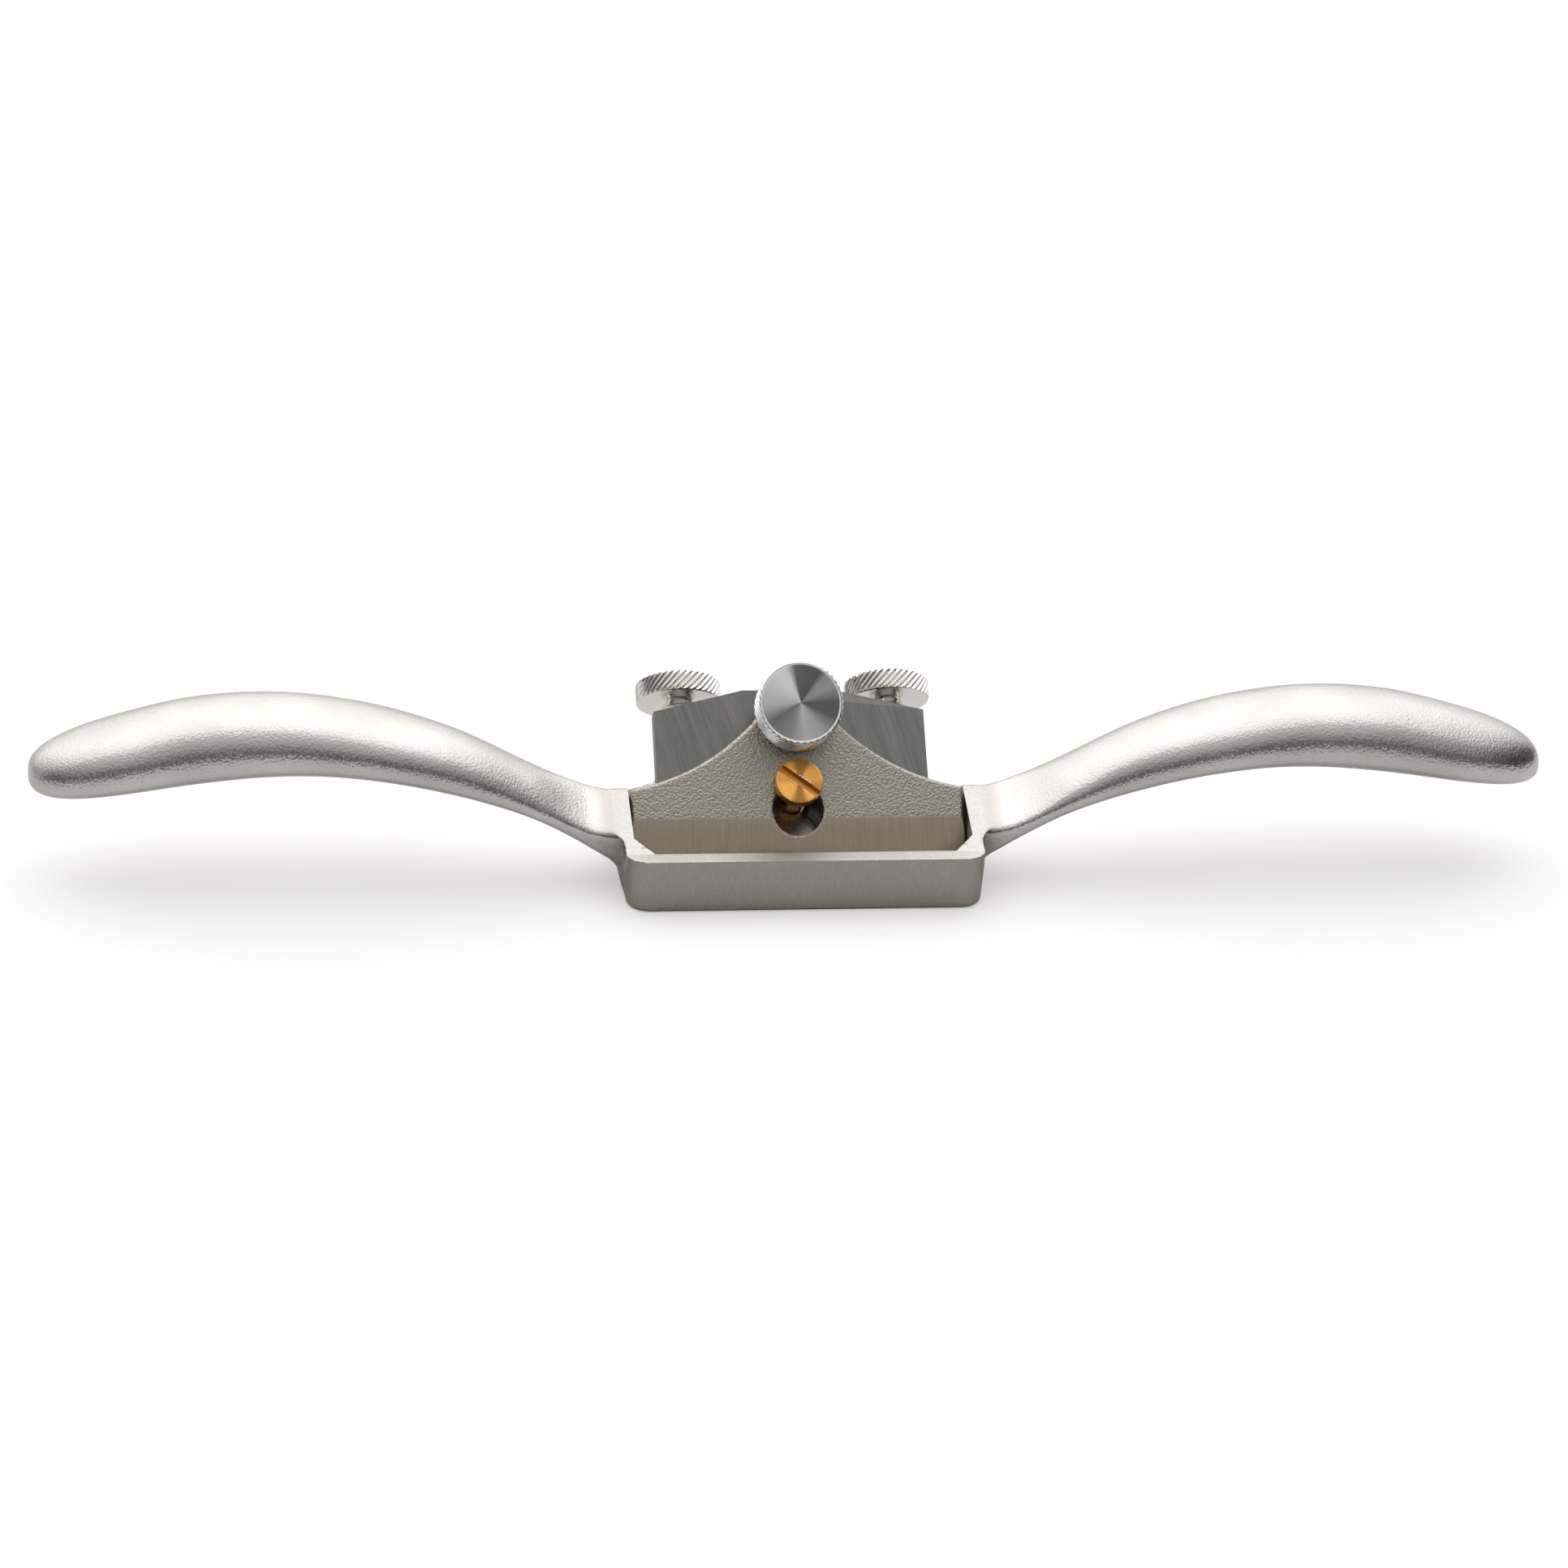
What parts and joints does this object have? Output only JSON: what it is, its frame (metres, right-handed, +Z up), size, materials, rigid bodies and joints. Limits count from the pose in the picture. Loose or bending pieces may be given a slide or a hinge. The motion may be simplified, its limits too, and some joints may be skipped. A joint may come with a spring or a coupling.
{
  "type": "spokeshave",
  "caption": "Metal flat-sole spokeshave with gull-wing handles, a bedded blade under a lever cap and thumbscrew, and knurled knobs that set the blade depth.",
  "frame": {"origin": "on the flat heel pad of the sole, midway between the handle tips and under the handles' centre line", "axes": "+X along the handles to the right of a user who faces the toe, +Y back from the toe to the heel, +Z up from the sole"},
  "size_m": [0.281, 0.0493, 0.0389],
  "materials": {
    "cast_steel": "fine sand-cast stainless, satin and slightly pebbled, with ground rim and sole",
    "blade_steel": "dark surface-ground tool steel with slanted grinding lines",
    "cap_steel": "coarser pebbled casting with a ground band along its nose",
    "bright_steel": "bright turned metal, diagonally knurled on the rims",
    "brass": "turned brass with small burrs in the slot"
  },
  "bodies": {
    "body": {"body_casting": "cast_steel", "left_adjuster_stud": "bright_steel", "right_adjuster_stud": "bright_steel"},
    "blade": {"blade": "blade_steel"},
    "left_knob": {"left_adjuster_knob": "bright_steel"},
    "right_knob": {"right_adjuster_knob": "bright_steel"},
    "lever_cap": {"lever_cap": "cap_steel"},
    "thumbscrew": {"lever_cap_thumbscrew": "bright_steel"},
    "cap_screw": {"lever_cap_screw": "brass"}
  },
  "joints": [
    {"name": "blade_slide", "type": "slide", "parent": "body", "child": "blade", "axis": [0, -0.7071, -0.7071], "range_m": [-0.0015, 0.001]},
    {"name": "left_knob_turn", "type": "hinge", "parent": "blade", "child": "left_knob", "pos_m": [-0.0198, 0.02127, 0.02334], "axis": [0, -0.7071, -0.7071], "range_deg": [-680, 455]},
    {"name": "right_knob_turn", "type": "hinge", "parent": "blade", "child": "right_knob", "pos_m": [0.0198, 0.02127, 0.02334], "axis": [0, -0.7071, -0.7071], "range_deg": [-680, 455]},
    {"name": "lever_cap_slide", "type": "slide", "parent": "body", "child": "lever_cap", "axis": [0, 0.7071, 0.7071], "range_m": [0, 0.0042]},
    {"name": "thumbscrew_turn", "type": "hinge", "parent": "lever_cap", "child": "thumbscrew", "pos_m": [0, 0.01215, 0.02355], "axis": [0, -0.7976, 0.6032], "range_deg": [0, 900]},
    {"name": "cap_screw_turn", "type": "hinge", "parent": "body", "child": "cap_screw", "pos_m": [0, 0.00179, 0.01319], "axis": [0, -0.7071, 0.7071], "range_deg": [-90, 450]}
  ],
  "couplings": [
    {"joint": "left_knob_turn", "follows": "blade_slide", "rad_per_m": 7854},
    {"joint": "right_knob_turn", "follows": "blade_slide", "rad_per_m": 7854}
  ]
}
